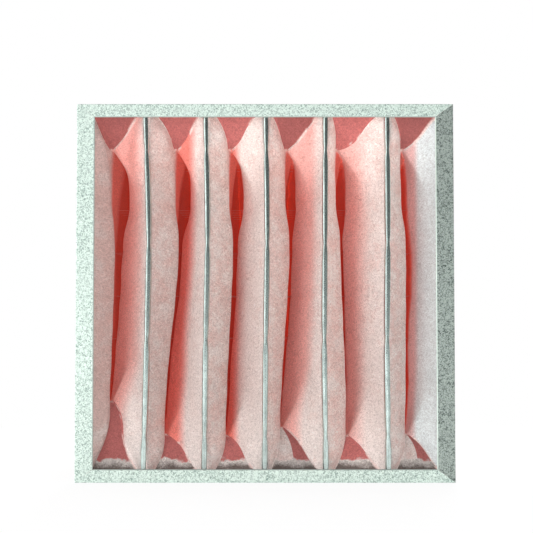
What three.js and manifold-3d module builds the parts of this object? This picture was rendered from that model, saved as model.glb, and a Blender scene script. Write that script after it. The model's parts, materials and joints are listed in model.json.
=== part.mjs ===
import * as THREE from "three";
import { mergeVertices } from "three/addons/utils/BufferGeometryUtils.js";
import { ParametricGeometry } from "three/addons/geometries/ParametricGeometry.js";
import Module from "manifold-3d";

const wasm = await Module();
wasm.setup();

// Overall size in mm: x across, y back from the air-entry face, z up
const faceWidth = 594;
const faceHeight = 594;
const overallDepth = 457.2;
const fitGap = 0.3;

// Sheet steel header rails
const railDepth = 22;
const sheet = 0.6;
const sideFlange = 28.6;
const endFlange = 21;
const sideLip = 8;
const endLip = (sideLip * endFlange) / sideFlange;
const flangeHem = 6;
const flangeHemDepth = 2 * sheet;
const hemEase = 0.3;
const bendRadius = 1.4;
const mitreRatio = sideFlange / endFlange;
const blockMargin = 1;

// Corner tabs and the rivets through them
const tabNearY = 3;
const tabFarY = 19;
const tabTopZ = 19;
const rivetZ = 11;
const rivetHoleLength = 6;
const rivetShank = 1.6;
const rivetHead = 3.2;
const rivetHeadHeight = 1;
const rivetTail = 2.6;
const rivetTailHeight = 1.2;
const rivetSides = 12;
const rivetTailTaper = 0.8;
const rivetShoulder = { radius: 0.9, height: 0.5 };
const rivetCrown = { radius: 0.5, height: 0.9 };

// Pocket dividers: upright channels with a rounded nose, open at the back
const pocketCount = 6;
const pocketPitch = 96.2;
const dividerHalf = 4.8;
const crimpHalf = 3.4;
const noseFront = 1.5;
const noseLength = 3.6;
const flatNoseLength = 1.4;
const flatLength = 52;
const legBackY = 15;
const shoulderShare = 0.62;
const crimpHeights = [73, 222, 372, 521];
const crimpFlat = 4;
const crimpTaper = 14;
const endRetainerInset = 10.5;
const endRetainerX = faceWidth / 2 - endRetainerInset;

// Sideways lean of each divider at its foot, lower third, upper third and head
const leanHeights = [0, 0.38, 0.66, 1];
const dividerLean = [
  [2, 6, 9, 3],
  [1, 2.4, 5.5, 2],
  [-0.5, 0.8, 3.5, 1],
  [-0.8, -3, -1.5, -0.5],
  [0.8, -1, 1.2, 0.5],
];

// Media pockets: wall thickness at the clamped hem and beyond it
const hemGap = 0.4;
const hemThickness = 2;
const mediaThickness = 4;
const mouthY = 4.8;
const hemEndY = 16;
const foldY = 90;
const waistY = 170;
const bellyY = 300;
const tailY = 440;
const waistGap = 12;
const bellyHalf = 15;
const creaseHalf = 1.8;
const creaseReach = 62;
const seamHalf = 3;
const innerSeamHalf = 1;
const innerEndY = 448;
const quilt = 1.6;
const foldHeights = [90, 390, 440];
const topFoldBack = 8;
const topOpening = 20;

// Height of the pocket's floor and of its ceiling, inside, at the depths above
const heightDepths = [hemEndY, foldY, waistY, bellyY, tailY];
const hemInset = endLip + 3;
const waistFloorZ = 62;
const floorZ = [hemInset, waistFloorZ, waistFloorZ, 35, 12];
const ceilingZ = [faceHeight - hemInset, 534, 528, 506, 488];
const dividerEndZ = hemInset + hemGap;

// Each pocket, low and high: how far from its left divider the near wall folds in and the far wall closes.
// Then the height of the floor's tip at the fold, and of the ridge along a floor that is tucked in two
const pocketShapes = [
  { fold: [36, 42], close: [27, 42], tip: 122, ridge: 0 },
  { fold: [30, 52], close: [23, 48], tip: 66, ridge: 0 },
  { fold: [34, 45], close: [33, 47], tip: 64, ridge: 0 },
  { fold: [27, 42], close: [28, 47], tip: 78, ridge: 9 },
  { fold: [38, 29], close: [44, 35], tip: 64, ridge: 0 },
  { fold: [39, 41], close: [50, 60], tip: 66, ridge: 9 },
];
const ridgeY = 60;

// Rings of the pocket, back from the mouth, and levels up each wall
const nearStations = [mouthY, hemEndY, 34, 60, foldY, 128, waistY, bellyY];
const outerStations = [...nearStations, tailY, overallDepth];
const innerStations = [...nearStations, innerEndY];
const wallLevels = 14;
const pocketCorners = 2 * wallLevels + 4;

const steel = new THREE.MeshStandardMaterial({ color: 0xb9c6c0, metalness: 0.9, roughness: 0.4 });
const rivetMetal = new THREE.MeshStandardMaterial({ color: 0xc8cac9, metalness: 0.9, roughness: 0.35 });
const media = new THREE.MeshStandardMaterial({ color: 0xe8b4aa, roughness: 1 });

const filter = new THREE.Group();
filter.name = "bag_air_filter";

function addPiece(name, geometry, material) {
  const mesh = new THREE.Mesh(geometry, material.clone());
  mesh.name = name;
  filter.add(mesh);
}

// Solid from a closed geometry: shared corners merged, flat triangles dropped
function solidOf(geometry) {
  const bare = new THREE.BufferGeometry();
  const source = geometry.index ? geometry.toNonIndexed() : geometry;
  bare.setAttribute("position", source.getAttribute("position"));
  const merged = mergeVertices(bare, 1e-4);
  const index = merged.index.array;
  const kept = [];
  for (let i = 0; i < index.length; i += 3) {
    const [a, b, c] = index.slice(i, i + 3);
    if (a !== b && b !== c && c !== a) kept.push(a, b, c);
  }
  return new wasm.Manifold(
    new wasm.Mesh({
      numProp: 3,
      vertProperties: merged.attributes.position.array,
      triVerts: new Uint32Array(kept),
    }),
  );
}

function geometryOf(solid) {
  const mesh = solid.getMesh();
  const geometry = new THREE.BufferGeometry();
  geometry.setAttribute("position", new THREE.BufferAttribute(mesh.vertProperties, 3));
  geometry.setIndex(new THREE.BufferAttribute(mesh.triVerts, 1));
  geometry.computeVertexNormals();
  return geometry;
}

function pathShape(points) {
  return new THREE.Shape(points.map(([a, b]) => new THREE.Vector2(a, b)));
}

// A closed tube of rings: pointAt sets corner k of ring i, and the first and last rings are zipped shut
function lofted(ringCount, cornerCount, pointAt) {
  const place = (u, v, target) => {
    const corner = Math.round(u * cornerCount) % cornerCount;
    pointAt(Math.round(v * (ringCount - 1)), corner, target);
  };
  return solidOf(new ParametricGeometry(place, cornerCount, ringCount - 1));
}

// Smooth run through values given at rising places
function eased(places, values, at) {
  const last = places.length - 1;
  if (at <= places[0]) return values[0];
  if (at >= places[last]) return values[last];
  const next = places.findIndex((place) => place > at);
  const share = THREE.MathUtils.smoothstep(at, places[next - 1], places[next]);
  return THREE.MathUtils.lerp(values[next - 1], values[next], share);
}

// Centre line of divider i, counted from 0 at the left header side to 6 at the right
function dividerX(i, z) {
  if (i === 0) return -endRetainerX;
  if (i === pocketCount) return endRetainerX;
  const points = dividerLean[i - 1].map((lean, k) => new THREE.Vector2(leanHeights[k], lean));
  const lean = new THREE.SplineCurve(points).getPoint(z / faceHeight).y;
  return (i - pocketCount / 2) * pocketPitch + lean;
}

// Rail section: flange with a hemmed edge, web and rear lip, u in from the outer face, v back
function railSection(flange, lip) {
  const r = bendRadius;
  const q = bendRadius - sheet;
  const shape = new THREE.Shape();
  shape.moveTo(0, railDepth);
  shape.lineTo(0, r);
  shape.absarc(r, r, r, Math.PI, 1.5 * Math.PI, false);
  shape.lineTo(flange - hemEase, 0);
  shape.lineTo(flange, hemEase);
  shape.lineTo(flange, flangeHemDepth - hemEase);
  shape.lineTo(flange - hemEase, flangeHemDepth);
  shape.lineTo(flange - flangeHem, flangeHemDepth);
  shape.lineTo(flange - flangeHem, sheet);
  shape.lineTo(r, sheet);
  shape.absarc(r, r, q, 1.5 * Math.PI, Math.PI, true);
  shape.lineTo(sheet, railDepth - sheet);
  shape.lineTo(lip, railDepth - sheet);
  shape.lineTo(lip, railDepth);
  shape.closePath();
  return shape;
}

// The block that a rail may fill, from outline corners in x and z
function mitreBlock(corners) {
  const block = new THREE.ExtrudeGeometry(pathShape(corners), {
    depth: railDepth + 2 * blockMargin,
    bevelEnabled: false,
  });
  return solidOf(block.rotateX(Math.PI / 2).translate(0, railDepth + blockMargin, 0));
}

function extrudedRail(flange, lip, length) {
  return new THREE.ExtrudeGeometry(railSection(flange, lip), {
    depth: length,
    bevelEnabled: false,
    curveSegments: 3,
  });
}

// Hole through the side web and the corner tab
function rivetHole(x, z) {
  const hole = new THREE.CylinderGeometry(
    rivetShank + fitGap,
    rivetShank + fitGap,
    rivetHoleLength,
    rivetSides,
  );
  return solidOf(hole.rotateZ(Math.PI / 2).translate(x, railDepth / 2, z));
}

// Left rail, upright
function sideRail() {
  const near = -faceWidth / 2 - blockMargin;
  const far = -faceWidth / 2 + sideFlange + blockMargin;
  const cutAt = (x) => (x + faceWidth / 2) / mitreRatio + fitGap / 2;
  const block = mitreBlock([
    [near, cutAt(near)],
    [far, cutAt(far)],
    [far, faceHeight - cutAt(far)],
    [near, faceHeight - cutAt(near)],
  ]);
  const bar = solidOf(extrudedRail(sideFlange, sideLip, faceHeight).translate(-faceWidth / 2, 0, 0));
  const holes = [rivetZ, faceHeight - rivetZ].map((z) => rivetHole(-faceWidth / 2, z));
  return holes.reduce((solid, hole) => solid.subtract(hole), bar.intersect(block));
}

// Bottom rail, lying along x, with a tab turned up at each end
function endRail() {
  const halfAt = (z) => faceWidth / 2 - z * mitreRatio - fitGap / 2;
  const low = -blockMargin;
  const high = endFlange + blockMargin;
  const block = mitreBlock([
    [-halfAt(low), low],
    [halfAt(low), low],
    [halfAt(high), high],
    [-halfAt(high), high],
  ]);
  const bar = extrudedRail(endFlange, endLip, faceWidth).translate(0, 0, -faceWidth / 2);
  let solid = solidOf(bar.rotateY(-Math.PI / 2)).intersect(block);
  const tabX = faceWidth / 2 - 1.5 * sheet - fitGap;
  const tabFoot = sheet / 4;
  for (const side of [-1, 1]) {
    const tab = new THREE.BoxGeometry(sheet, tabFarY - tabNearY, tabTopZ - tabFoot);
    tab.translate(side * tabX, (tabNearY + tabFarY) / 2, (tabTopZ + tabFoot) / 2);
    solid = solid.add(solidOf(tab)).subtract(rivetHole(side * tabX, rivetZ));
  }
  return solid;
}

// The same rail turned half round for the opposite side of the header
function turnedOver(geometry) {
  return geometry.clone().rotateY(Math.PI).translate(0, 0, faceHeight);
}

function rivet() {
  const tailTop = -2 * sheet - 2 * fitGap;
  const headTop = fitGap + rivetHeadHeight;
  const profile = [
    [0, tailTop - rivetTailHeight],
    [rivetTail * rivetTailTaper, tailTop - rivetTailHeight],
    [rivetTail, tailTop],
    [rivetShank, tailTop],
    [rivetShank, fitGap],
    [rivetHead, fitGap],
    [rivetHead * rivetShoulder.radius, fitGap + rivetHeadHeight * rivetShoulder.height],
    [rivetHead * rivetCrown.radius, fitGap + rivetHeadHeight * rivetCrown.height],
    [0, headTop],
  ];
  const points = profile.map(([radius, height]) => new THREE.Vector2(radius, height));
  return new THREE.LatheGeometry(points, rivetSides);
}

// How far the divider is pinched at height z, 0 to 1
function crimpAt(z) {
  const away = Math.min(...crimpHeights.map((height) => Math.abs(z - height)));
  return 1 - THREE.MathUtils.smoothstep(away, crimpFlat, crimpTaper);
}

// How far the nose is pressed flat, below each crimp
function flatAt(z) {
  const below = crimpHeights.map((height) => height - z).filter((drop) => drop > -crimpFlat);
  const drop = Math.min(...below, faceHeight);
  return 1 - THREE.MathUtils.smoothstep(drop, crimpTaper, flatLength);
}

// Section of a divider channel at height z: outer corners from left to right, then inner ones back
function channelSection(pinch, flatness) {
  const half = THREE.MathUtils.lerp(dividerHalf, crimpHalf, pinch);
  const shoulderY = noseFront + THREE.MathUtils.lerp(noseLength, flatNoseLength, flatness);
  const inner = half - sheet;
  const outside = [
    [-half, legBackY],
    [-half, shoulderY],
    [-half * shoulderShare, noseFront],
  ];
  const inside = [
    [-inner * shoulderShare, noseFront + sheet],
    [-inner, shoulderY],
    [-inner, legBackY],
  ];
  const flipped = (points) => points.map(([x, y]) => [-x, y]).reverse();
  return [...outside, ...flipped(outside), ...flipped(inside), ...inside];
}

// A channel along the divider line i, with its section given at each height
function channel(i, heights, pinchAt, pressAt) {
  const sections = heights.map((z) => channelSection(pinchAt(z), pressAt(z)));
  const corners = sections[0].length;
  const rings = heights.length + 2;
  return lofted(rings, corners, (ring, corner, target) => {
    const row = THREE.MathUtils.clamp(ring - 1, 0, heights.length - 1);
    let [x, y] = sections[row][corner];
    if (ring === 0 || ring === rings - 1) {
      const [otherX, otherY] = sections[row][corners - 1 - corner];
      x = (x + otherX) / 2;
      y = (y + otherY) / 2;
    }
    target.set(dividerX(i, heights[row]) + x, y, heights[row]);
  });
}

function divider(i) {
  const heights = [dividerEndZ];
  for (const crimp of crimpHeights) {
    heights.push(crimp - flatLength, crimp - crimpTaper, crimp - crimpFlat);
    heights.push(crimp + crimpFlat, crimp + crimpTaper);
  }
  heights.push(faceHeight - dividerEndZ);
  return channel(i, heights, crimpAt, flatAt);
}

function endRetainer(i) {
  const none = () => 0;
  return channel(i, [dividerEndZ, faceHeight - dividerEndZ], none, none);
}

// Straight run between two depths, held at both ends
function straight(places, values, y) {
  const share = THREE.MathUtils.inverseLerp(places[0], places[1], y);
  return THREE.MathUtils.lerp(values[0], values[1], THREE.MathUtils.clamp(share, 0, 1));
}

// Height of pocket p's floor, inside, at depth y
function floorAt(p, y) {
  const tip = pocketShapes[p].tip;
  const behind = (tip + waistFloorZ) / 2;
  return eased(heightDepths, [floorZ[0], tip, behind, ...floorZ.slice(3)], y);
}

// Inner face of a pocket wall at depth y and height z: side -1 is the near wall, 1 the far wall
function wallX(p, side, y, z) {
  const shape = pocketShapes[p];
  const origin = (p - pocketCount / 2) * pocketPitch;
  const [lowFold, highFold] = shape.fold;
  const topFold = highFold - topFoldBack;
  const fold = origin + eased(foldHeights, [lowFold, highFold, topFold], z);
  const close = origin + eased(foldHeights, [...shape.close, topFold + topOpening], z);
  const middle = origin + topFold + topOpening / 2;
  const hem = dividerX(side < 0 ? p : p + 1, z) - side * (hemGap + hemThickness);
  const belly = middle + side * bellyHalf;
  const tail = middle + side * innerSeamHalf;
  const nearWaist = Math.min(fold, close - waistGap);
  const places = side < 0 ? [hemEndY, foldY, waistY, bellyY, tailY] : [hemEndY, waistY, bellyY, tailY];
  const values = side < 0 ? [hem, fold, nearWaist, belly, tail] : [hem, close, belly, tail];
  const open = y < places[1] ? straight(places, values, y) : eased(places, values, y);
  const spine = [fold, close - waistGap / 2, middle];
  const seam = eased([foldY, waistY, bellyY], spine, y) + side * creaseHalf;
  const ceiling = eased(heightDepths, ceilingZ, y);
  const away = Math.min(z - floorAt(p, y), ceiling - z);
  const openShare = THREE.MathUtils.smoothstep(away, 0, creaseReach);
  return THREE.MathUtils.lerp(straight([hemEndY, foldY], [hem, seam], y), open, openShare);
}

// Corner of a pocket ring: floor middle, up the far wall, ceiling middle, down the near wall
function pocketCorner(p, y, skin, corner, zipped, target) {
  const levels = wallLevels;
  const floorCorners = 2;
  const wallDepths = [hemEndY, foldY, bellyY, tailY];
  const wall = [hemThickness, mediaThickness, mediaThickness, seamHalf - innerSeamHalf];
  const thickness = skin * eased(wallDepths, wall, y);
  const puff = quilt * eased(wallDepths, [0, 1, 1, 0], y);
  const floor = floorAt(p, y) - thickness;
  const ceiling = eased(heightDepths, ceilingZ, y) + thickness;
  const climb = corner - floorCorners;
  const onFar = climb >= 0 && climb <= levels;
  const level = onFar ? climb : (pocketCorners - corner) % pocketCorners;
  const atFloorMiddle = corner === 1;
  const atCeilingMiddle = climb === levels + 1;
  const share = atFloorMiddle ? 0 : Math.min(level / levels, 1);
  const ridge = atFloorMiddle ? eased([hemEndY, ridgeY, foldY], [0, pocketShapes[p].ridge, 0], y) : 0;
  const z = THREE.MathUtils.lerp(floor, ceiling, share) + ridge;
  const bulge = thickness + (level % 2) * puff;
  const near = wallX(p, -1, y, z) - bulge;
  const far = wallX(p, 1, y, z) + bulge;
  const middle = (near + far) / 2;
  const x = zipped || atFloorMiddle || atCeilingMiddle ? middle : onFar ? far : near;
  target.set(x, y, z);
}

// Hollow pocket: in from the tail over the outer skin, round the mouth and back down the inner skin
function pocket(p) {
  const outer = [...outerStations].reverse();
  const depths = [outer[0], ...outer, ...innerStations, innerStations[innerStations.length - 1]];
  return lofted(depths.length, pocketCorners, (ring, corner, target) => {
    const skin = ring <= outer.length ? 1 : 0;
    const zipped = ring === 0 || ring === depths.length - 1;
    pocketCorner(p, depths[ring], skin, corner, zipped, target);
  });
}

const left = geometryOf(sideRail());
addPiece("rail_left", left, steel);
addPiece("rail_right", turnedOver(left), steel);
const bottom = geometryOf(endRail());
addPiece("rail_bottom", bottom, steel);
addPiece("rail_top", turnedOver(bottom), steel);

for (let i = 1; i < pocketCount; i += 1) addPiece(`divider_${i}`, geometryOf(divider(i)), steel);
addPiece("end_retainer_left", geometryOf(endRetainer(0)), steel);
addPiece("end_retainer_right", geometryOf(endRetainer(pocketCount)), steel);

for (let p = 0; p < pocketCount; p += 1) addPiece(`pocket_${p + 1}`, geometryOf(pocket(p)), media);

// One rivet at each corner, its head on the outer side
let corner = 0;
for (const side of [-1, 1]) {
  for (const z of [rivetZ, faceHeight - rivetZ]) {
    corner += 1;
    const turned = rivet().rotateZ((-side * Math.PI) / 2);
    turned.translate((side * faceWidth) / 2, railDepth / 2, z);
    addPiece(`corner_rivet_${corner}`, geometryOf(solidOf(turned)), rivetMetal);
  }
}

// The frame's origin is under the middle of the whole part
filter.position.y = -overallDepth / 2;

export default filter;
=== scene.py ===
"""A bag air filter: a galvanised header with crimped dividers and six deep pockets of pink media."""

import json
import math
from collections import namedtuple

import bmesh
import bpy
from mathutils import Euler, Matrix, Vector, noise
from mathutils.bvhtree import BVHTree

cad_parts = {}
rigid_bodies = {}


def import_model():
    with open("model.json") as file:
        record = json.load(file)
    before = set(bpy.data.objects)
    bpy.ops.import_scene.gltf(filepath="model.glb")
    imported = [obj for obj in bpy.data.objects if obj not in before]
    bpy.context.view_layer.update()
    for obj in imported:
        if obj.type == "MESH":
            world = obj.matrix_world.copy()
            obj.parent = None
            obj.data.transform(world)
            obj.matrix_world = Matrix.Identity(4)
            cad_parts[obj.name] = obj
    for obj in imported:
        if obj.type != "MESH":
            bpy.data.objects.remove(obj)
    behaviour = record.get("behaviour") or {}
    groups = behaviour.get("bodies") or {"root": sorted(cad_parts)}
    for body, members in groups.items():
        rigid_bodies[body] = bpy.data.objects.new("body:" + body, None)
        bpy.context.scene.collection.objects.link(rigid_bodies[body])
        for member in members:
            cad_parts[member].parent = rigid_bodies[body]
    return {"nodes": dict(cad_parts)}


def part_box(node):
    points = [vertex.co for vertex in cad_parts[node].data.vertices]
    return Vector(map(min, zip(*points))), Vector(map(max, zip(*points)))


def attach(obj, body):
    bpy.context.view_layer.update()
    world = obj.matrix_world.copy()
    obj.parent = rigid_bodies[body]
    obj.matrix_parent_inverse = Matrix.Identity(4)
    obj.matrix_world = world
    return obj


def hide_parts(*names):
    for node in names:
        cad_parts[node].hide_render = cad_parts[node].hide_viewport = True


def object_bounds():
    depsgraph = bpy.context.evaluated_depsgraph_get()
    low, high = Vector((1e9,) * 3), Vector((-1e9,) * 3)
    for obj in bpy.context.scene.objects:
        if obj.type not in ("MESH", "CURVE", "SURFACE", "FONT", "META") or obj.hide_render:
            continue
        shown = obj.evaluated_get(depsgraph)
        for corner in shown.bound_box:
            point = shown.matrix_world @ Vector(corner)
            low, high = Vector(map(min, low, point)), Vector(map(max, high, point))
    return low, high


bl_info = {
    "name": "Bag air filter",
    "version": (1, 0, 0),
    "blender": (4, 5, 0),
    "location": "View3D > Sidebar > Filter",
    "description": "Dresses the frame of a bag air filter and lights it",
    "category": "Object",
}

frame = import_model()
CAD_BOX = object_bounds()
FACE_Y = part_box("rail_bottom")[0][1]
RAILS = ("rail_left", "rail_right", "rail_bottom", "rail_top")
RIVETS = ("corner_rivet_1", "corner_rivet_2", "corner_rivet_3", "corner_rivet_4")
DIVIDERS = tuple(f"divider_{i}" for i in range(1, 6))
RETAINERS = ("end_retainer_left", "end_retainer_right")
POCKETS = tuple(f"pocket_{i}" for i in range(1, 7))

# The pockets' spacing, and where a mouth wall's slanting edge starts.
PITCH = 0.0962
HEM_HEIGHT = 0.022

# The tucked-in end panels: where they lie, and how their faces lean.
MIDDLE_HEIGHT = 0.3
LOW_TUCK = 0.13
HIGH_TUCK = 0.47
TUCK_RISE = 0.35
TUCK_LEAN = 0.45

# Where a look is read from the shape.
LINE_HEIGHTS = (0.08, 0.20, 0.39)
LOW_WALL = (0.10, 0.30)
SLOT_DEPTHS = (0.15, 0.21)
CREST_WIDTH = 0.03
HEM_WIDTH = 0.012
CLEAR_START = 0.0015
WALL_LEAN = 0.5

# How strong a look's common parts are: the painted glow in the slot, the painted shade on a ridged
# pocket's tuck, the painted highlight on a far wall's hem and the painted light low on a far wall.
SLOT_GLOW = 0.20
RIDGE_SHADE = 0.72
HEM_HIGHLIGHT = 0.5
LOW_WALL_LIGHT = 0.3

# The arch of a bowed edge, scaled to a height of one, and the part of a pocket's width it turns over in.
ARCH_SCALE = 2.6
ARCH_POWER = 3
BOW_TURN = (0.3, 0.8)

# How far the quilting grows in behind the face, and how far it fades before the tail.
QUILT_START = (0.09, 0.2)
QUILT_FADE = 0.03

# The last depth for a thread, how far its ends sink into the media, its sides, and the skins that a
# line across a pocket meets.
THREAD_REACH = 0.40
THREAD_SINK = 0.0008
THREAD_SIDES = 5
SKINS_ACROSS = 4

# A pocket's look. shade_line is where the shade ends on the far wall at each of LINE_HEIGHTS, from the
# pocket's left side. soft is half the width of that end. light dims the near wall, and band and
# whiteness say how pale the near and the far wall are. tip is the height of the tucked floor at the fold.
Look = namedtuple(
    "Look",
    "shade_line soft shade glow light band whiteness tip near_bow far_bow cool ridged",
    defaults=(0.0, 0.0, False),
)
LOOKS = (
    Look(
        shade_line=(0.063, 0.088, 0.093),
        soft=0.014,
        shade=0.58,
        glow=0.12,
        light=0.76,
        band=-0.30,
        whiteness=0.45,
        tip=0.122,
        near_bow=0.019,
        far_bow=0.009,
    ),
    Look(
        shade_line=(0.062, 0.068, 0.079),
        soft=0.009,
        shade=0.88,
        glow=0.18,
        light=0.90,
        band=0.15,
        whiteness=0.75,
        tip=0.066,
        near_bow=0.013,
    ),
    Look(
        shade_line=(0.051, 0.052, 0.053),
        soft=0.008,
        shade=0.92,
        glow=0.18,
        light=0.97,
        band=0.15,
        whiteness=0.80,
        tip=0.064,
        near_bow=0.012,
        far_bow=0.006,
    ),
    Look(
        shade_line=(0.052, 0.070, 0.078),
        soft=0.010,
        shade=0.52,
        glow=0.12,
        light=1.00,
        band=0.15,
        whiteness=0.55,
        tip=0.078,
        near_bow=0.007,
        ridged=True,
    ),
    Look(
        shade_line=(0.050, 0.052, 0.058),
        soft=0.016,
        shade=0.46,
        glow=0.11,
        light=1.05,
        band=0.20,
        whiteness=0.60,
        tip=0.064,
        near_bow=0.009,
    ),
    Look(
        shade_line=(0.040, 0.044, 0.045),
        soft=0.005,
        shade=0.48,
        glow=0.00,
        light=1.00,
        band=0.20,
        whiteness=0.85,
        tip=0.066,
        near_bow=0.010,
        cool=1.0,
        ridged=True,
    ),
)

# The lamps: place to the right of the middle, depth from the face, height, and side of the square.
Lamp = namedtuple("Lamp", "name side depth height size")
LAMPS = (
    Lamp("key", side=-0.95, depth=-2.1, height=0.95, size=0.55),
    Lamp("front", side=0.02, depth=-1.95, height=0.34, size=0.35),
    Lamp("back", side=0.3, depth=1.8286, height=1.5, size=1.2),
)
LAMP_AIM_HEIGHT = 0.3
FLOOR_HALF = 6.0


def length(name, description, default):
    """A property for a size in metres."""
    return bpy.props.FloatProperty(
        name=name, description=description, default=default, unit="LENGTH", precision=5
    )


def share(name, description, default):
    """A property for a part of one."""
    return bpy.props.FloatProperty(
        name=name, description=description, default=default, min=0.0, max=1.0, subtype="FACTOR"
    )


def number(name, description, default):
    """A property for a plain number."""
    return bpy.props.FloatProperty(name=name, description=description, default=default)


def colour(name, description, default):
    """A property for a linear colour."""
    return bpy.props.FloatVectorProperty(
        name=name, description=description, default=default, size=3, min=0.0, max=1.0, subtype="COLOR"
    )


class StageSettings(bpy.types.PropertyGroup):
    """The camera, the floor and the lights."""

    camera_distance: length("Camera distance", "From the filter's face to the lens", 1.8)
    camera_height: length("Camera height", "Lens height above the floor", 0.2598)
    camera_side: length("Camera side", "Lens place to the right of the middle", 0.0023)
    camera_pitch: bpy.props.FloatProperty(
        name="Camera pitch",
        description="How far the camera looks up",
        default=math.radians(2.46),
        subtype="ANGLE",
    )
    lens: number("Lens", "Focal length in millimetres on a 36 mm sensor", 77.54)
    floor_colour: colour("Floor colour", "Paint of the floor", (0.86, 0.86, 0.86))
    floor_clear: length("Floor clear", "Distance at which the floor fades into the white surround", 0.9)
    sky_left: number("Sky at the left", "Strength of the soft light from the left", 0.98)
    sky_right: number("Sky at the right", "Strength of the soft light from the right", 0.74)
    shine_left: number("Shine at the left", "What a reflection sees at the left", 1.8)
    shine_right: number("Shine at the right", "What a reflection sees at the right", 0.10)
    key_power: number("Key power", "Watts of the lamp at the front left", 22.0)
    front_power: number("Front power", "Watts of the lamp beside the camera", 18.0)
    back_power: number("Back power", "Watts of the lamp behind the pockets", 60.0)


class SteelSettings(bpy.types.PropertyGroup):
    """Galvanised sheet steel."""

    pale: colour("Pale zinc", "Ground between the flecks", (0.76, 0.88, 0.81))
    dark: colour("Dark zinc", "Dark flecks", (0.27, 0.37, 0.33))
    strip: colour("Strip zinc", "Smooth zinc of the rolled dividers", (0.60, 0.72, 0.69))
    # Painted shade: the right rail is painted as a darker copy of the same zinc.
    dull: share("Dull side", "Tone of the right rail, whose sheet lies across the light", 0.50)
    fleck: length("Fleck", "Size of a dark fleck", 0.0034)
    roughness: share("Roughness", "Mean roughness", 0.5)


class MediaSettings(bpy.types.PropertyGroup):
    """The soft non-woven filter media and its quilting."""

    pale: colour("Pale fibre", "Loose fibres at the surface", (0.96, 0.93, 0.90))
    pink: colour("Pink fibre", "Body of the media", (0.90, 0.73, 0.69))
    # Cool: the colour that paints the last pocket's far wall whiter and greyer than the rest.
    cool: colour("Cool fibre", "Bleached fibre of the last pocket's far wall", (0.78, 0.89, 0.91))
    deep: colour("Deep pink", "Media in the shade behind a fold", (0.86, 0.23, 0.18))
    # Painted shade: the dark red painted at the back of a pocket, where little light reaches.
    far: colour("Far red", "Media at the back of a pocket, lit through many layers", (0.62, 0.045, 0.02))
    glow_tint: colour("Glow tint", "Light that has come through to a shaded side", (1.0, 0.12, 0.07))
    # Painted shade: the tucked floor is painted darker and redder, as it lies in shade; the stitch dashes
    # share this colour.
    tuck: colour("Tuck", "The tucked-in floor of a pocket", (0.58, 0.205, 0.195))
    raw: colour("Raw edge", "Torn white fibre along the folded hem", (0.80, 0.79, 0.76))
    # Painted shadow: the dark colour at the foot of the torn edge, where the rail shades it.
    soiled: colour("Soiled edge", "Torn fibre in the corner behind the rail", (0.20, 0.17, 0.155))
    back: colour("Backing", "Outer side of the media", (0.90, 0.80, 0.77))
    through: share("Light through", "Part of the light that comes through the media", 0.5)
    row_pitch: length("Row pitch", "Height between two rows of stitching", 0.074)
    row_start: length("First row", "Height of the lowest row of stitching", 0.072)
    stitch: length("Stitch", "Half the length of one stitch and its gap", 0.004)
    groove_depth: length("Groove depth", "How far a row of stitching pulls each skin in", 0.0006)
    groove_half: length("Groove half width", "Half the width of a stitched groove", 0.006)
    wave: length("Wave", "Height of the slow waves in a wall", 0.004)
    crumple: length("Crumple", "Height of the small creases", 0.0009)
    fold_depth: length("Fold depth", "Depth of the crisp fold in each near wall", 0.090)
    waist_depth: length("Waist depth", "Depth at which the walls come together", 0.170)
    raw_height: length("Raw height", "Height that the torn edge reaches above the floor", 0.0305)
    # The turned hem is real; its paler colour is a painted highlight.
    hem_depth: length("Hem depth", "Depth of the paler turned hem of a far wall", 0.022)
    bow_reach: length("Bow reach", "Height over which a bowed edge pulls its wall along", 0.032)


class ThreadSettings(bpy.types.PropertyGroup):
    """The spacer threads that hold a pocket's two walls together."""

    radius: length("Radius", "Half the thickness of a thread", 0.0002)
    first: length("First thread", "Depth of the first thread in a row", 0.185)
    pitch: length("Thread pitch", "Depth between two threads in a row", 0.045)
    tint: colour("Thread colour", "Polyester thread", (0.62, 0.30, 0.26))


class FilterSettings(bpy.types.PropertyGroup):
    """All the sizes and colours of the filter."""

    stage: bpy.props.PointerProperty(type=StageSettings, name="Stage", description="Camera and light")
    steel: bpy.props.PointerProperty(type=SteelSettings, name="Steel", description="Galvanised steel")
    media: bpy.props.PointerProperty(type=MediaSettings, name="Media", description="Filter media")
    thread: bpy.props.PointerProperty(type=ThreadSettings, name="Thread", description="Spacer threads")


def settings():
    """The scene's sizes and colours."""
    return bpy.context.scene.bag_filter


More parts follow.
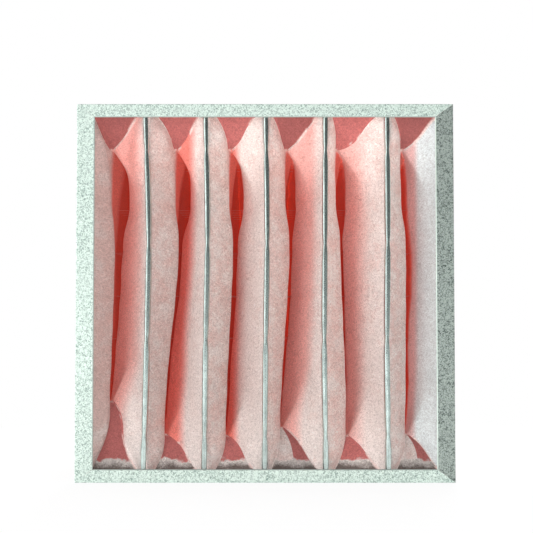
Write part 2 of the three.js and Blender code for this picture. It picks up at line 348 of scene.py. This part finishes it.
class Nodes:
    """Adds and links the nodes of one material, or of the world."""

    def __init__(self, name, world=None):
        self.material = world or bpy.data.materials.new(name)
        self.material.use_nodes = True
        self.tree = self.material.node_tree
        self.tree.nodes.clear()
        kind = "ShaderNodeOutputWorld" if world else "ShaderNodeOutputMaterial"
        self.output = self.tree.nodes.new(kind)

    def add(self, kind, inputs=None, **options):
        """A node with its options and its inputs set; an input may be another node's socket."""
        node = self.tree.nodes.new("ShaderNode" + kind)
        for key, value in options.items():
            setattr(node, key, value)
        for key, value in (inputs or {}).items():
            socket = node.inputs[key]
            if isinstance(value, bpy.types.NodeSocket):
                self.tree.links.new(value, socket)
            else:
                socket.default_value = value
        return node

    def place(self):
        """Object coordinates."""
        return self.add("TexCoord").outputs["Object"]

    def weighed(self, *parts):
        """A sum of values, each times its weight."""
        total = None
        for value, weight in parts:
            part = self.math("MULTIPLY", value, weight)
            total = self.math("ADD", total, part) if total else part
        return total

    def noise(self, scale, detail=2.0, roughness=0.5, vector=None):
        """A noise texture's value."""
        inputs = {"Scale": scale, "Detail": detail, "Roughness": roughness}
        inputs["Vector"] = vector or self.place()
        return self.add("TexNoise", inputs).outputs["Fac"]

    def swirl(self, scale, distortion, vector=None):
        """A curled noise, like matted fibre."""
        inputs = {"Scale": scale, "Detail": 3.0, "Distortion": distortion}
        inputs["Vector"] = vector or self.place()
        return self.add("TexNoise", inputs).outputs["Fac"]

    def marked(self, name):
        """A value stored on the mesh."""
        return self.add("Attribute", attribute_name=name).outputs["Fac"]

    def spread(self, value, low, high, to_low=0.0, to_high=1.0):
        """Maps low..high to to_low..to_high, held at both ends."""
        inputs = {"Value": value, "From Min": low, "From Max": high, "To Min": to_low, "To Max": to_high}
        return self.add("MapRange", inputs).outputs["Result"]

    def math(self, operation, first, second=0.0):
        """One sum."""
        return self.add("Math", {0: first, 1: second}, operation=operation).outputs[0]

    def blend(self, factor, first, second):
        """A mix of two numbers."""
        return self.add("Mix", {"Factor": factor, "A": first, "B": second}).outputs[0]

    def mix(self, factor, first, second):
        """A mix of two colours."""
        node = self.add("Mix", {"Factor": factor}, data_type="RGBA")
        for socket, value in ((node.inputs[6], first), (node.inputs[7], second)):
            if isinstance(value, bpy.types.NodeSocket):
                self.tree.links.new(value, socket)
            else:
                socket.default_value = (*value, 1.0)
        return node.outputs[2]

    def bump(self, height, strength, distance):
        """A bumped normal."""
        inputs = {"Height": height, "Strength": strength, "Distance": distance}
        return self.add("Bump", inputs).outputs["Normal"]

    def finish(self, shader):
        """Links the last shader to the output."""
        self.tree.links.new(shader, self.output.inputs["Surface"])
        return self.material


def scaled(tint, factor):
    """A colour made darker or brighter."""
    return tuple(part * factor for part in tint)


def galvanised(name, tone, axis, edge, painted_rim_tone):
    """Zinc-coated rail steel: small curled dark flecks on a pale, faintly green ground, and a painted
    shade line along the inner edge, which a brighter rim tone turns into a painted highlight.
    """
    steel = settings().steel
    nodes = Nodes(name)
    fleck = nodes.swirl(1 / steel.fleck, distortion=1.6)
    fine = nodes.swirl(2.4 / steel.fleck, distortion=1.0)
    cloud = nodes.noise(scale=22.0, detail=3.0, roughness=0.6)
    marks = nodes.weighed((fleck, 0.6), (fine, 0.4), (cloud, 0.06))
    ground = nodes.spread(marks, low=0.44, high=0.56)
    paint = nodes.mix(ground, scaled(steel.dark, tone * tone), scaled(steel.pale, tone))
    place = nodes.add("SeparateXYZ", {"Vector": nodes.place()}).outputs[axis]
    from_edge = nodes.math("ABSOLUTE", nodes.math("SUBTRACT", place, edge))
    # Painted line along the inner edge: shade where the rim tone is below the rail's tone, highlight
    # where it is above.
    on_painted_rim = nodes.spread(from_edge, low=0.0012, high=0.0018, to_low=1.0, to_high=0.0)
    paint = nodes.mix(on_painted_rim, paint, scaled(steel.pale, painted_rim_tone))
    rough = nodes.spread(marks, 0.4, 0.6, to_low=steel.roughness + 0.1, to_high=steel.roughness - 0.1)
    inputs = {
        "Base Color": paint,
        "Metallic": 0.55,
        "Roughness": rough,
        "Normal": nodes.bump(marks, strength=0.2, distance=0.0003),
    }
    return nodes.finish(nodes.add("BsdfPrincipled", inputs).outputs["BSDF"])


def rolled_zinc():
    """Zinc smoothed by the rollers: bright, with faint streaks along the strip."""
    steel = settings().steel
    nodes = Nodes("rolled zinc")
    stretched = nodes.add("Mapping", {"Vector": nodes.place(), "Scale": (420.0, 420.0, 7.0)})
    streak = nodes.noise(scale=1.0, detail=3.0, roughness=0.6, vector=stretched.outputs["Vector"])
    cloud = nodes.noise(scale=70.0, detail=3.0, roughness=0.6)
    tone = nodes.weighed((streak, 0.6), (cloud, 0.4))
    paint = nodes.mix(nodes.spread(tone, 0.3, 0.7), scaled(steel.strip, 0.5), scaled(steel.strip, 1.3))
    inputs = {
        "Base Color": paint,
        "Metallic": 1.0,
        "Roughness": nodes.spread(tone, 0.3, 0.7, to_low=0.3, to_high=0.2),
        "Normal": nodes.bump(tone, strength=0.15, distance=0.0003),
    }
    return nodes.finish(nodes.add("BsdfPrincipled", inputs).outputs["BSDF"])


def stitches(nodes, where):
    """Dashes along each stitched row of the outer skins, from the waist back."""
    media = settings().media
    height = nodes.math("SUBTRACT", where["Z"], media.row_start)
    off_row = nodes.math("PINGPONG", height, media.row_pitch / 2)
    on_row = nodes.spread(off_row, low=0.0007, high=0.0013, to_low=0.75, to_high=0.0)
    dash = nodes.math("PINGPONG", where["Y"], media.stitch)
    dash = nodes.spread(dash, low=media.stitch * 0.25, high=media.stitch * 0.35)
    waist = FACE_Y + media.waist_depth
    sewn = nodes.spread(where["Y"], low=waist, high=waist + 0.004)
    return nodes.math("MULTIPLY", nodes.math("MULTIPLY", on_row, dash), sewn)


def media_material():
    """Needled fibre: cloudy pink and white, with painted shade and a painted glow that redden it deep
    inside, and light coming through.
    """
    media = settings().media
    nodes = Nodes("non-woven media")
    where = nodes.add("SeparateXYZ", {"Vector": nodes.place()}).outputs

    # Fibre at four sizes, drawn out along the pocket's depth.
    drawn = nodes.add("Mapping", {"Vector": nodes.place(), "Scale": (1.0, 0.35, 1.0)}).outputs["Vector"]
    cloud = nodes.noise(scale=38.0, detail=4.0, roughness=0.62, vector=drawn)
    fleck = nodes.swirl(150.0, distortion=2.2, vector=drawn)
    curl = nodes.swirl(190.0, distortion=2.8, vector=drawn)
    strand = nodes.swirl(350.0, distortion=2.4, vector=drawn)

    # The skins: pink to pale, then the painted shade behind a fold and the painted dark red at the back.
    matted = nodes.weighed((fleck, 0.55), (curl, 0.45))
    mottle = nodes.weighed((matted, 0.9), (cloud, 1.1))
    pale_share = nodes.spread(mottle, low=0.82, high=1.18, to_low=-0.1, to_high=0.9)
    pale_share = nodes.math("ADD", pale_share, nodes.marked("paleness"))
    face = nodes.mix(nodes.spread(pale_share, 0.0, 1.0), tuple(media.pink), tuple(media.pale))
    face = nodes.mix(nodes.marked("cool"), face, tuple(media.cool))
    inner = nodes.mix(nodes.spread(nodes.marked("shade"), 0.0, 1.0), face, tuple(media.deep))
    waist = FACE_Y + media.waist_depth
    # Painted shade: darker red behind the waist.
    inner = nodes.mix(nodes.spread(where["Y"], waist, waist + 0.05), inner, tuple(media.far))
    # Painted shade on the tucked floor.
    inner = nodes.mix(nodes.marked("tuck"), inner, tuple(media.tuck))

    # The torn edge along the rail, with painted shadow at its foot.
    tear = nodes.weighed((nodes.noise(scale=60.0, detail=2.0), 0.016), (where["Z"], 1.0), (curl, 0.008))
    edge = media.raw_height + 0.012
    torn = nodes.spread(tear, low=edge - 0.0012, high=edge + 0.0012, to_low=1.0, to_high=0.0)
    out_of_rail_shadow = nodes.spread(nodes.weighed((tear, 1.0), (strand, 0.006)), low=edge - 0.008, high=edge + 0.002)
    fringe = nodes.mix(out_of_rail_shadow, tuple(media.soiled), tuple(media.raw))
    inner = nodes.mix(nodes.math("MULTIPLY", torn, nodes.marked("panel")), inner, fringe)

    # The outer skins, with their stitching.
    outer = nodes.mix(nodes.spread(mottle, 0.85, 1.4), tuple(media.pink), tuple(media.back))
    outer = nodes.mix(stitches(nodes, where), outer, tuple(media.tuck))
    paint = nodes.mix(nodes.marked("inside"), outer, inner)

    # Light and dark fibres over all of it, times the painted light of each pocket's near wall.
    weave = nodes.weighed((curl, 0.55), (strand, 0.45))
    value = nodes.spread(weave, low=0.38, high=0.62, to_low=0.72, to_high=1.18)
    value = nodes.math("MULTIPLY", value, nodes.marked("light"))
    paint = nodes.add("HueSaturation", {"Value": value, "Color": paint}).outputs["Color"]
    height = nodes.weighed((fleck, 1.0), (curl, 1.0), (strand, 1.0))
    relief = nodes.bump(height, strength=0.6, distance=0.0012)
    inputs = {
        "Base Color": paint,
        "Roughness": 0.95,
        "Specular IOR Level": 0.15,
        "Sheen Weight": 0.15,
        "Normal": relief,
        # Painted light: the emission glows on the shaded inside, in place of light that comes through the
        # media.
        "Emission Color": (*media.glow_tint, 1.0),
        "Emission Strength": nodes.marked("glow"),
    }
    body = nodes.add("BsdfPrincipled", inputs).outputs["BSDF"]
    through = nodes.add("BsdfTranslucent", {"Color": paint, "Normal": relief}).outputs["BSDF"]
    both = nodes.add("MixShader", {0: media.through, 1: body, 2: through}).outputs["Shader"]
    return nodes.finish(both)


def plain_material(name, tint, roughness, metallic=0.0):
    """A small part's finish, with a fine uneven surface."""
    nodes = Nodes(name)
    speck = nodes.noise(scale=1500.0, detail=2.0)
    inputs = {
        "Base Color": nodes.mix(speck, scaled(tint, 0.86), tuple(tint)),
        "Metallic": metallic,
        "Roughness": nodes.spread(speck, 0.3, 0.7, to_low=roughness - 0.08, to_high=roughness + 0.08),
        "Normal": nodes.bump(speck, strength=0.2, distance=0.0002),
    }
    return nodes.finish(nodes.add("BsdfPrincipled", inputs).outputs["BSDF"])


def set_material(obj, material):
    """Gives a piece or a frame node its one finish."""
    obj.data.materials.clear()
    obj.data.materials.append(material)


def dress_node(name, material):
    """A new finish on a frame node that is kept."""
    node = frame["nodes"][name]
    if not node.material_slots:
        raise RuntimeError(f"{name} has no material slot")
    for place in node.material_slots:
        place.link = "OBJECT"
        place.material = material


def finish_piece(bm, name, material):
    """Makes a piece of a bmesh, gives it its finish and sets it on the frame."""
    mesh = bpy.data.meshes.new(name)
    bm.to_mesh(mesh)
    bm.free()
    piece = bpy.data.objects.new(name, mesh)
    bpy.context.collection.objects.link(piece)
    set_material(piece, material)
    mesh.polygons.foreach_set("use_smooth", [True] * len(mesh.polygons))
    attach(piece, "root")
    return piece


def merged_copy(node_name):
    """A bmesh of a frame node with its triangles joined to four-sided faces."""
    bm = bmesh.new()
    bm.from_mesh(frame["nodes"][node_name].data)
    bmesh.ops.remove_doubles(bm, verts=bm.verts, dist=1e-6)
    bmesh.ops.join_triangles(
        bm,
        faces=bm.faces,
        angle_face_threshold=math.radians(50),
        angle_shape_threshold=math.radians(70),
    )
    return bm


def rounded(bm, levels, crease_angle, crease):
    """The bmesh subdivided smoothly, its sharp edges held by a crease."""
    layer = crease_layer(bm)
    for edge in bm.edges:
        if edge.is_manifold and edge.calc_face_angle(0.0) > crease_angle:
            edge[layer] = crease
    mesh = bpy.data.meshes.new("rounding")
    bm.to_mesh(mesh)
    bm.free()
    holder = bpy.data.objects.new("rounding", mesh)
    bpy.context.collection.objects.link(holder)
    smooth = holder.modifiers.new("Rounding", "SUBSURF")
    smooth.levels = levels
    smooth.render_levels = levels
    view = holder.evaluated_get(bpy.context.evaluated_depsgraph_get())
    finished = bpy.data.meshes.new_from_object(view)
    result = bmesh.new()
    result.from_mesh(finished)
    bpy.data.objects.remove(holder)
    bpy.data.meshes.remove(mesh)
    bpy.data.meshes.remove(finished)
    return result


def crease_layer(bm):
    """The bmesh's edge crease values."""
    layers = bm.edges.layers.float
    return layers.get("crease_edge") or layers.new("crease_edge")


def crease_ring(bm, depth, crease):
    """Creases the upright edges that stand at one depth from the face."""
    layer = crease_layer(bm)
    for edge in bm.edges:
        if all(abs(vert.co.y - FACE_Y - depth) < 1e-4 for vert in edge.verts):
            edge[layer] = max(edge[layer], crease)


def is_tucked(place, normal):
    """Whether a point is on the upper side of a pocket's tucked-in floor or under its ceiling."""
    upward = 1.0 if place.z < MIDDLE_HEIGHT else -1.0
    near_end = place.z < LOW_TUCK or place.z > HIGH_TUCK
    in_front = place.y < FACE_Y + settings().media.fold_depth
    leans = normal.z * upward > TUCK_RISE and abs(normal.x) < TUCK_LEAN
    return near_end and in_front and leans


def mark_tucks(bm, ridged):
    """Marks the tucked-in panels, and the part of each that is painted with the tuck shade; a ridged
    pocket keeps the left half of each panel pale, as if lit.
    """
    bm.normal_update()
    bm.faces.layers.float.new("panel")
    bm.faces.layers.float.new("tuck")
    panel = bm.faces.layers.float["panel"]
    tuck = bm.faces.layers.float["tuck"]
    for face in bm.faces:
        if is_tucked(face.calc_center_median(), face.normal):
            face[panel] = 1.0
            # A ridged pocket's left half keeps no painted shade, as if lit; its right half gets the
            # painted tuck shade.
            face[tuck] = 0.0 if ridged and face.normal.x < 0.0 else 1.0


def row_heights():
    """Heights of the stitched rows."""
    media = settings().media
    top = CAD_BOX[1][2]
    count = int((top - media.row_start) / media.row_pitch) + 1
    return [media.row_start + k * media.row_pitch for k in range(count)]


def nearest_row(z, rows):
    """Distance from a height to the nearest stitched row."""
    return min(abs(z - row) for row in rows)


def eased(value, low, high):
    """A smooth step from 0 at low to 1 at high."""
    t = min(max((value - low) / (high - low), 0.0), 1.0)
    return t * t * (3.0 - 2.0 * t)


def eased_depth(y, depths):
    """A smooth step from 0 to 1 between two depths behind the face."""
    return eased(y, FACE_Y + depths[0], FACE_Y + depths[1])


def wave_at(point, seed):
    """Slow sideways waves and small creases of a wall, the same on both its skins."""
    media = settings().media
    slow = noise.noise(Vector((point.x * 9.0 + seed, point.y * 11.0, point.z * 9.0)))
    small = noise.noise(Vector((point.x * 25.0, point.y * 34.0 + seed, point.z * 26.0)))
    return slow * media.wave + small * media.crumple


def quilt(bm, seed):
    """Stitched grooves and soft waves on a pocket, from behind the header to the tail."""
    media = settings().media
    rows = row_heights()
    back = CAD_BOX[1][1]
    bm.normal_update()
    moves = []
    for vert in bm.verts:
        reach = eased_depth(vert.co.y, QUILT_START) * (1 - eased(vert.co.y, back - QUILT_FADE, back))
        away = nearest_row(vert.co.z, rows) / media.groove_half
        groove = media.groove_depth * math.exp(-away * away)
        move = Vector((wave_at(vert.co, seed), 0.0, 0.0)) - vert.normal * groove
        moves.append(move * reach)
    for vert, move in zip(bm.verts, moves):
        vert.co += move


def bow_edges(bm, look, left):
    """Bows the slanting edges of the two mouth walls into the mouth, as soft media hangs."""
    media = settings().media
    for vert in bm.verts:
        along = (vert.co.y - FACE_Y) / media.fold_depth
        if 0.0 < along < 1.0:
            edge = HEM_HEIGHT + (look.tip - HEM_HEIGHT) * along
            height = min(vert.co.z, CAD_BOX[1][2] - vert.co.z)
            away = (height - edge) / media.bow_reach
            arch = ARCH_SCALE * (1.0 - (1.0 - along) ** ARCH_POWER - along)
            pull = arch * math.exp(-away * away)
            across = eased((vert.co.x - left) / PITCH, *BOW_TURN)
            vert.co.x += pull * (look.near_bow * (1.0 - across) - look.far_bow * across)


def shade_at(place, look, left):
    """How far the shade has grown across a far wall, as the camera sees it."""
    stage = settings().stage
    nearer = stage.camera_distance / (stage.camera_distance + place.y - FACE_Y)
    seen = stage.camera_side + (place.x - stage.camera_side) * nearer
    low, middle, high = LINE_HEIGHTS
    first = eased(place.z, low, middle)
    second = eased(place.z, middle, high)
    at_low, at_middle, at_high = look.shade_line
    line = left + at_low + (at_middle - at_low) * first + (at_high - at_middle) * second
    across = look.shade * (1.0 - eased(seen, line - look.soft, line + look.soft))
    return max(across, eased_depth(place.y, SLOT_DEPTHS))


def is_inside(tree, vert):
    """Whether a point has the pocket's other wall in front of it, or is on the pocket's inner end."""
    if vert.normal.y < -WALL_LEAN and vert.co.y > FACE_Y + settings().media.waist_depth:
        return True
    wall = abs(vert.normal.x) > WALL_LEAN
    sight = Vector((math.copysign(1.0, vert.normal.x), 0.0, 0.0)) if wall else vert.normal
    return tree.ray_cast(vert.co + sight * CLEAR_START, sight)[0] is not None


def mark_skins(piece, look, left):
    """Stores for each point whether it is inside, and how pale, shaded or lit through it is."""
    media = settings().media
    mesh = piece.data
    tree = BVHTree.FromPolygons([v.co for v in mesh.vertices], [p.vertices for p in mesh.polygons])
    marks = {"inside": [], "shade": [], "glow": [], "paleness": [], "cool": [], "light": []}
    crest = (media.fold_depth, media.fold_depth + CREST_WIDTH)
    hem_end = (media.hem_depth, media.hem_depth + HEM_WIDTH)
    for vert in mesh.vertices:
        tucked = is_tucked(vert.co, vert.normal)
        inside = tucked or is_inside(tree, vert)
        far_side = inside and vert.normal.x < 0.0 and not tucked
        shade = shade_at(vert.co, look, left) if far_side else eased_depth(vert.co.y, crest)
        # Painted light: a glow in the slot at the back of the pocket.
        slot = SLOT_GLOW * eased_depth(vert.co.y, SLOT_DEPTHS)
        # Painted highlight on the far wall's hem, next to the divider.
        hem = HEM_HIGHLIGHT * (1.0 - eased_depth(vert.co.y, hem_end))
        # Painted light: the far wall is painted paler low down, where more light reaches it.
        low = LOW_WALL_LIGHT * (1.0 - eased(vert.co.z, *LOW_WALL))
        light = look.light * (RIDGE_SHADE if look.ridged and tucked else 1.0)
        marks["inside"].append(float(inside))
        marks["shade"].append(shade)
        marks["glow"].append(max(look.glow * shade, slot) if inside else 0.0)
        marks["paleness"].append(look.whiteness + hem + low if far_side else look.band)
        marks["cool"].append(look.cool if far_side else 0.0)
        marks["light"].append(light if inside and not far_side else 1.0)
    for name, values in marks.items():
        mesh.attributes.new(name, "FLOAT", "POINT").data.foreach_set("value", values)


class FILTER_OT_stage(bpy.types.Operator):
    """Camera, floor, soft lamps and the white surround"""

    bl_idname = "bag_filter.stage"
    bl_label = "Stage"

    def execute(self, context):
        stage = settings().stage
        camera = bpy.data.objects.new("camera", bpy.data.cameras.new("camera"))
        context.collection.objects.link(camera)
        camera.data.lens = stage.lens
        camera.data.sensor_width = 36.0
        camera.location = (stage.camera_side, FACE_Y - stage.camera_distance, stage.camera_height)
        camera.rotation_euler = Euler((math.pi / 2 + stage.camera_pitch, 0.0, 0.0))
        context.scene.camera = camera
        self.add_floor(context, stage)
        self.add_world(context, stage)
        for lamp in LAMPS:
            self.add_lamp(context, lamp, getattr(stage, lamp.name + "_power"))
        context.scene.view_settings.view_transform = "Standard"
        return {"FINISHED"}

    def add_floor(self, context, stage):
        """A wide pale floor that shows white to the camera and keeps the shadow."""
        bm = bmesh.new()
        bmesh.ops.create_grid(bm, x_segments=1, y_segments=1, size=FLOOR_HALF)
        mesh = bpy.data.meshes.new("floor")
        bm.to_mesh(mesh)
        bm.free()
        floor = bpy.data.objects.new("floor", mesh)
        context.collection.objects.link(floor)
        nodes = Nodes("floor paint")
        paint = nodes.add("BsdfDiffuse", {"Color": (*stage.floor_colour, 1.0)}).outputs["BSDF"]
        white = nodes.add("Emission", {"Color": (1.0, 1.0, 1.0, 1.0), "Strength": 1.0}).outputs[0]
        seen = nodes.add("LightPath").outputs["Is Camera Ray"]
        far = nodes.add("VectorMath", {0: nodes.place()}, operation="LENGTH").outputs["Value"]
        clear = nodes.spread(far, low=0.3, high=stage.floor_clear, to_low=0.86, to_high=1.0)
        share_white = nodes.math("MULTIPLY", seen, clear)
        both = nodes.add("MixShader", {0: share_white, 1: paint, 2: white}).outputs["Shader"]
        set_material(floor, nodes.finish(both))

    def add_world(self, context, stage):
        """White behind the filter, and soft light that is stronger at the left."""
        world = bpy.data.worlds.new("surround")
        world.use_nodes = True
        nodes = Nodes("surround", world)
        path = nodes.add("LightPath").outputs
        facing = nodes.add("TexCoord").outputs["Generated"]
        across = nodes.add("SeparateXYZ", {"Vector": facing}).outputs["X"]
        sky = nodes.spread(across, -0.8, 0.8, to_low=stage.sky_left, to_high=stage.sky_right)
        shine = nodes.spread(across, -0.7, -0.25, to_low=stage.shine_left, to_high=stage.shine_right)
        unseen = nodes.blend(path["Is Glossy Ray"], sky, shine)
        strength = nodes.blend(path["Is Camera Ray"], unseen, 1.0)
        white = nodes.add("Background", {"Color": (1.0, 1.0, 1.0, 1.0), "Strength": strength})
        nodes.finish(white.outputs["Background"])
        context.scene.world = world

    def add_lamp(self, context, lamp, power):
        """A square soft lamp that faces the filter and casts no reflection."""
        light = bpy.data.objects.new(lamp.name, bpy.data.lights.new(lamp.name, "AREA"))
        context.collection.objects.link(light)
        light.data.shape = "SQUARE"
        light.data.size = lamp.size
        light.data.energy = power
        light.visible_glossy = False
        light.location = (lamp.side, FACE_Y + lamp.depth, lamp.height)
        aim = Vector((0.0, FACE_Y, LAMP_AIM_HEIGHT)) - light.location
        light.rotation_euler = aim.to_track_quat("-Z", "Y").to_euler()


class FILTER_OT_header(bpy.types.Operator):
    """Zinc finish on the four header rails and the corner rivets"""

    bl_idname = "bag_filter.header"
    bl_label = "Header"

    def execute(self, context):
        left, right, bottom, top = (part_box(name) for name in RAILS)
        # Painted shade: the right rail takes a darker tone than the others.
        dull = settings().steel.dull
        finishes = (
            # The rim tones paint a shade line on the left, bottom and top rails, and a highlight line on
            # the right rail.
            galvanised("galvanised left rail", tone=1.0, axis="X", edge=left[1][0], painted_rim_tone=0.45),
            galvanised("galvanised right rail", tone=dull, axis="X", edge=right[0][0], painted_rim_tone=1.0),
            galvanised("galvanised bottom rail", tone=1.0, axis="Z", edge=bottom[1][2], painted_rim_tone=0.4),
            galvanised("galvanised top rail", tone=1.0, axis="Z", edge=top[0][2], painted_rim_tone=0.6),
        )
        for name, finish in zip(RAILS, finishes):
            dress_node(name, finish)
        bright = plain_material("rivet aluminium", (0.72, 0.73, 0.73), roughness=0.32, metallic=1.0)
        for name in RIVETS:
            dress_node(name, bright)
        return {"FINISHED"}


class FILTER_OT_dividers(bpy.types.Operator):
    """Rounded, crimped dividers and the two end retainers"""

    bl_idname = "bag_filter.dividers"
    bl_label = "Dividers"

    def execute(self, context):
        zinc = rolled_zinc()
        for name in RETAINERS:
            dress_node(name, zinc)
        for name in DIVIDERS:
            bm = rounded(merged_copy(name), levels=2, crease_angle=math.radians(75), crease=0.9)
            piece = finish_piece(bm, name + "_strip", zinc)
            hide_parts(name)
        return {"FINISHED"}


class FILTER_OT_pockets(bpy.types.Operator):
    """Quilted media pockets"""

    bl_idname = "bag_filter.pockets"
    bl_label = "Pockets"

    def execute(self, context):
        media = media_material()
        for index, name in enumerate(POCKETS):
            bm = merged_copy(name)
            mark_tucks(bm, LOOKS[index].ridged)
            crease_ring(bm, settings().media.fold_depth, crease=0.9)
            crease_ring(bm, settings().media.waist_depth, crease=0.7)
            levels = 3
            bm = rounded(bm, levels, crease_angle=math.radians(48), crease=0.95)
            left = (index - len(POCKETS) / 2) * PITCH
            bow_edges(bm, LOOKS[index], left)
            quilt(bm, seed=3.7 * index)
            piece = finish_piece(bm, name + "_bag", media)
            mark_skins(piece, LOOKS[index], left)
            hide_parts(name)
        return {"FINISHED"}


class FILTER_OT_threads(bpy.types.Operator):
    """Spacer threads across the pockets along each stitched row"""

    bl_idname = "bag_filter.threads"
    bl_label = "Threads"

    def execute(self, context):
        material = plain_material("polyester thread", settings().thread.tint, roughness=0.6)
        for name in POCKETS:
            self.add_threads(bpy.data.objects[name + "_bag"], name + "_threads", material)
        return {"FINISHED"}

    def add_threads(self, bag, name, material):
        """One thread from wall to wall at each step along each row."""
        thread = settings().thread
        mesh = bag.data
        tree = BVHTree.FromPolygons([v.co for v in mesh.vertices], [p.vertices for p in mesh.polygons])
        bm = bmesh.new()
        steps = int((THREAD_REACH - thread.first) / thread.pitch) + 1
        for row in row_heights():
            for step in range(steps):
                y = FACE_Y + thread.first + step * thread.pitch
                ends = self.walls_at(tree, bag, y, row)
                if ends:
                    self.add_thread(bm, ends[0], ends[1], y, row, thread.radius)
        finish_piece(bm, name, material)

    def walls_at(self, tree, bag, y, z):
        """Where the two inner faces stand at a depth and a height, or None outside the pocket."""
        hits = []
        x = min(corner[0] for corner in bag.bound_box) - 0.01
        for _ in range(SKINS_ACROSS + 2):
            place, _, _, _ = tree.ray_cast(Vector((x, y, z)), Vector((1.0, 0.0, 0.0)))
            if place is None:
                break
            hits.append(place.x)
            x = place.x + 2e-4
        return (hits[1], hits[2]) if len(hits) == SKINS_ACROSS else None

    def add_thread(self, bm, near, far, y, z, radius):
        """A thin thread along x, its ends just inside the media."""
        made = bmesh.ops.create_cone(
            bm,
            cap_ends=True,
            segments=THREAD_SIDES,
            radius1=radius,
            radius2=radius,
            depth=far - near + 2 * THREAD_SINK,
        )
        turn = Euler((0.0, math.pi / 2, 0.0)).to_matrix()
        bmesh.ops.rotate(bm, verts=made["verts"], matrix=turn)
        bmesh.ops.translate(bm, verts=made["verts"], vec=((near + far) / 2, y, z))


class FILTER_PT_panel(bpy.types.Panel):
    """Lists the steps and the settings"""

    bl_idname = "FILTER_PT_panel"
    bl_label = "Bag air filter"
    bl_space_type = "VIEW_3D"
    bl_region_type = "UI"
    bl_category = "Filter"

    def draw(self, context):
        for operator in STEPS:
            self.layout.operator(operator.bl_idname)
        for group in (settings().stage, settings().steel, settings().media, settings().thread):
            box = self.layout.box()
            for key in group.bl_rna.properties.keys():
                if key not in {"rna_type", "name"}:
                    box.prop(group, key)


STEPS = (FILTER_OT_stage, FILTER_OT_header, FILTER_OT_dividers, FILTER_OT_pockets, FILTER_OT_threads)
GROUPS = (StageSettings, SteelSettings, MediaSettings, ThreadSettings, FilterSettings)
CLASSES = (*GROUPS, *STEPS, FILTER_PT_panel)


def register():
    """Adds the classes and the scene's settings."""
    for each in CLASSES:
        bpy.utils.register_class(each)
    bpy.types.Scene.bag_filter = bpy.props.PointerProperty(type=FilterSettings)


def unregister():
    """Takes them away again."""
    del bpy.types.Scene.bag_filter
    for each in reversed(CLASSES):
        bpy.utils.unregister_class(each)


def main():
    """Makes the whole scene."""
    register()
    bpy.ops.bag_filter.stage()
    bpy.ops.bag_filter.header()
    bpy.ops.bag_filter.dividers()
    bpy.ops.bag_filter.pockets()
    bpy.ops.bag_filter.threads()


if __name__ == "__main__":
    main()
